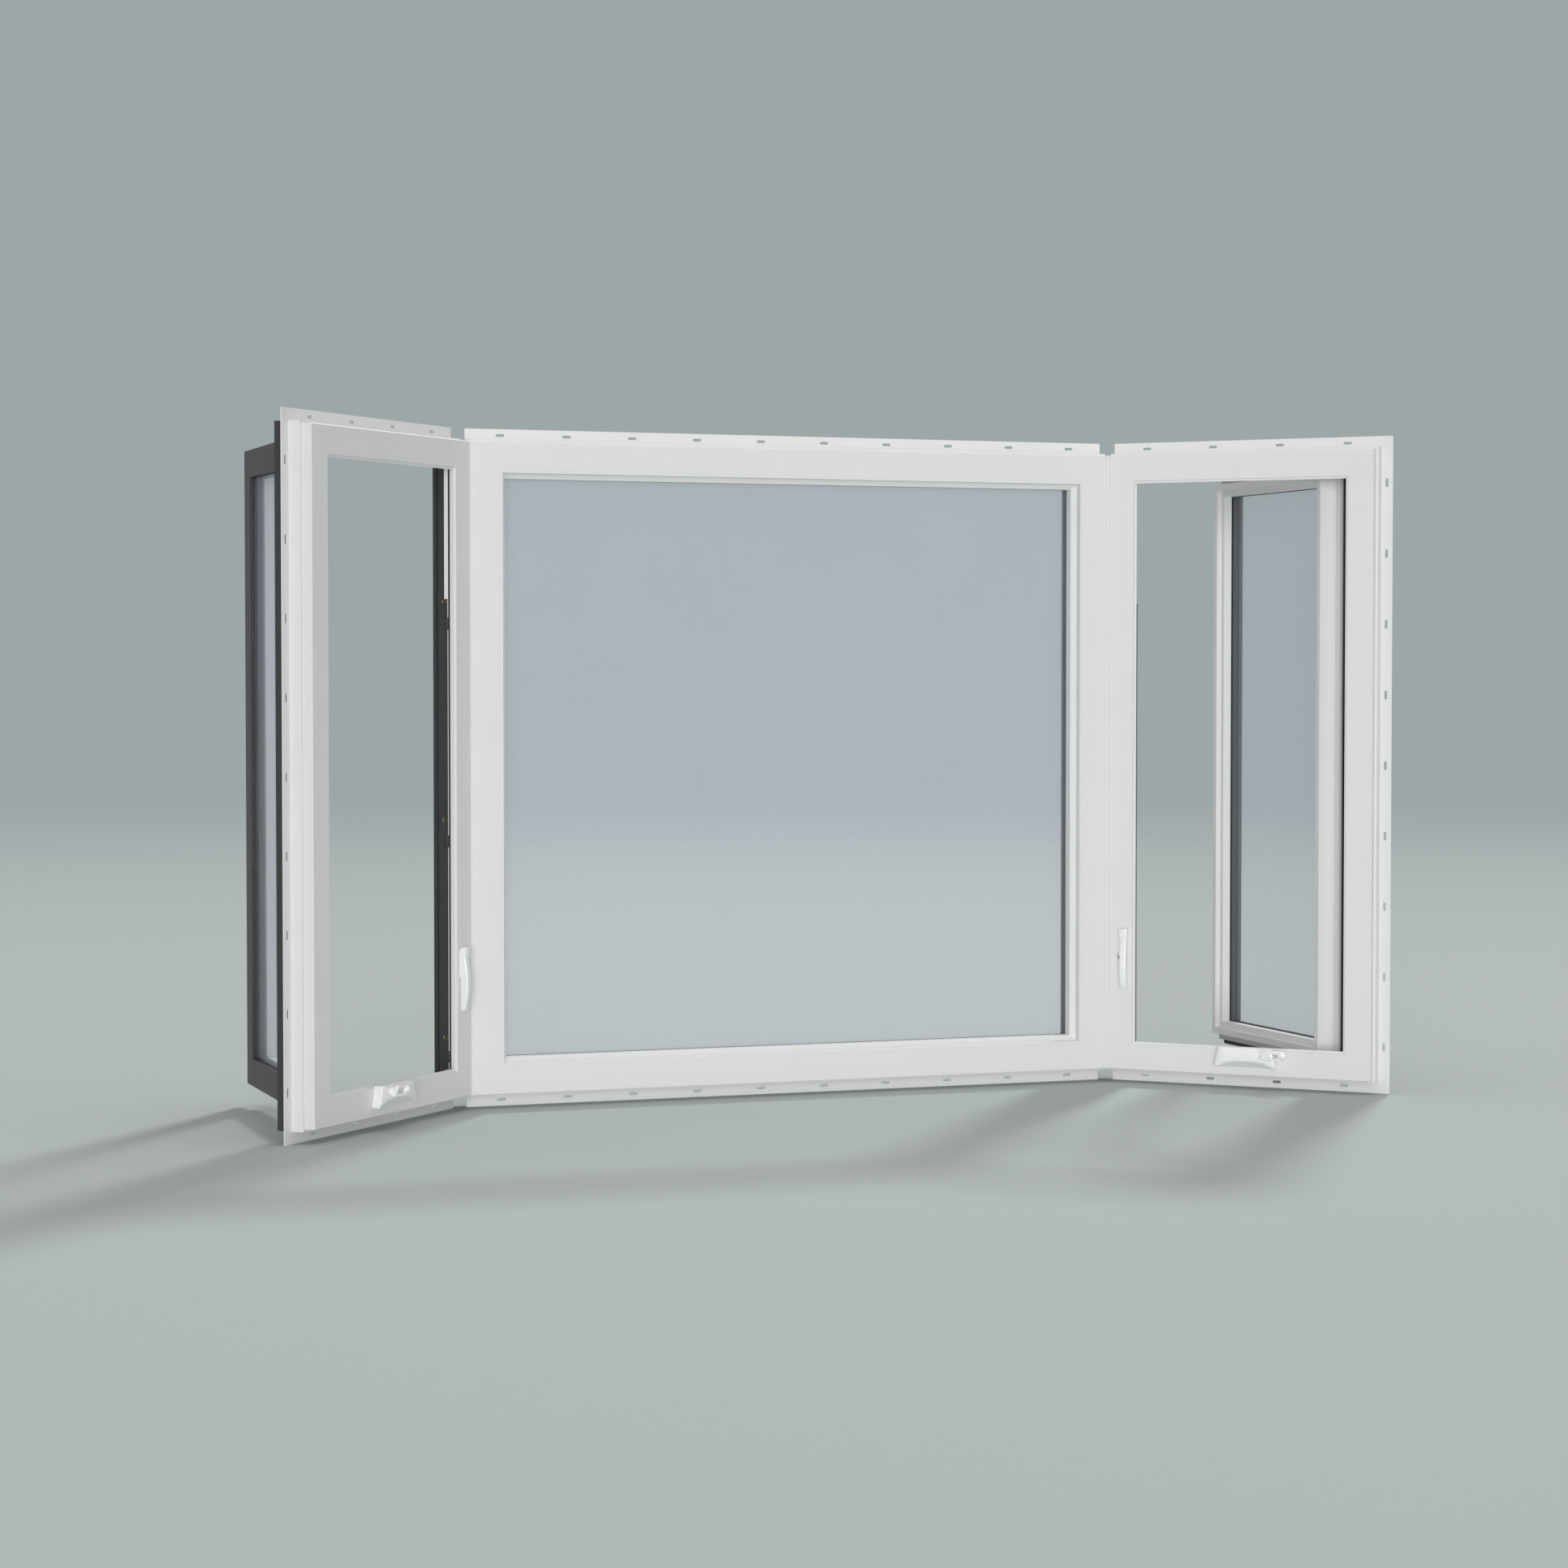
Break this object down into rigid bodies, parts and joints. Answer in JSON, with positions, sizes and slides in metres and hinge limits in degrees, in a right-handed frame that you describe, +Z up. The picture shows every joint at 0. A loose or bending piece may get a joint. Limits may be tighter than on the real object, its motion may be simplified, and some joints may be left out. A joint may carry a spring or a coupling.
{
  "type": "bay window with two casement sashes",
  "caption": "Angled bay window: fixed centre pane between two outward-opening casement units, white indoors and black outdoors, with nailing fins.",
  "frame": {"origin": "middle of the lowest level of the overall box, on the floor that the fins stand on", "axes": "+X along the centre unit to the right as seen from the room, +Y outdoors, +Z up"},
  "size_m": [2.4276, 0.6606, 1.4208],
  "materials": {
    "white_vinyl": "satin",
    "bead_vinyl": "satin",
    "black_vinyl": "satin",
    "glass": "clear",
    "spacer_bar": "matte",
    "white_enamel": "gloss",
    "hinge_steel": "satin",
    "lock_bar": "satin"
  },
  "bodies": {
    "root": {"centre_head": "white_vinyl", "centre_sill": "white_vinyl", "centre_left_jamb": "white_vinyl", "centre_right_jamb": "white_vinyl", "centre_outdoor_frame": "black_vinyl", "centre_bead": "bead_vinyl", "centre_glass": "glass", "centre_spacer": "spacer_bar", "left_post": "white_vinyl", "right_post": "white_vinyl", "left_post_cover": "black_vinyl", "right_post_cover": "black_vinyl", "left_head": "white_vinyl", "left_sill": "white_vinyl", "left_inner_jamb": "white_vinyl", "left_outer_jamb": "white_vinyl", "left_outdoor_frame": "black_vinyl", "right_head": "white_vinyl", "right_sill": "white_vinyl", "right_inner_jamb": "white_vinyl", "right_outer_jamb": "white_vinyl", "right_outdoor_frame": "black_vinyl", "left_sash": "white_vinyl", "left_sash_outdoor_frame": "black_vinyl", "left_sash_bead": "bead_vinyl", "left_sash_glass": "glass", "left_sash_spacer": "spacer_bar", "right_sash": "white_vinyl", "right_sash_outdoor_frame": "black_vinyl", "right_sash_bead": "bead_vinyl", "right_sash_glass": "glass", "right_sash_spacer": "spacer_bar", "left_operator_cover": "white_enamel", "left_crank_handle": "white_enamel", "left_lock_lever": "white_enamel", "left_operator_arm": "hinge_steel", "left_hinge_arms": "hinge_steel", "left_tie_bar": "lock_bar", "right_operator_cover": "white_enamel", "right_crank_handle": "white_enamel", "right_lock_lever": "white_enamel", "right_operator_arm": "hinge_steel", "right_hinge_arms": "hinge_steel", "right_tie_bar": "lock_bar"}
  },
  "joints": []
}
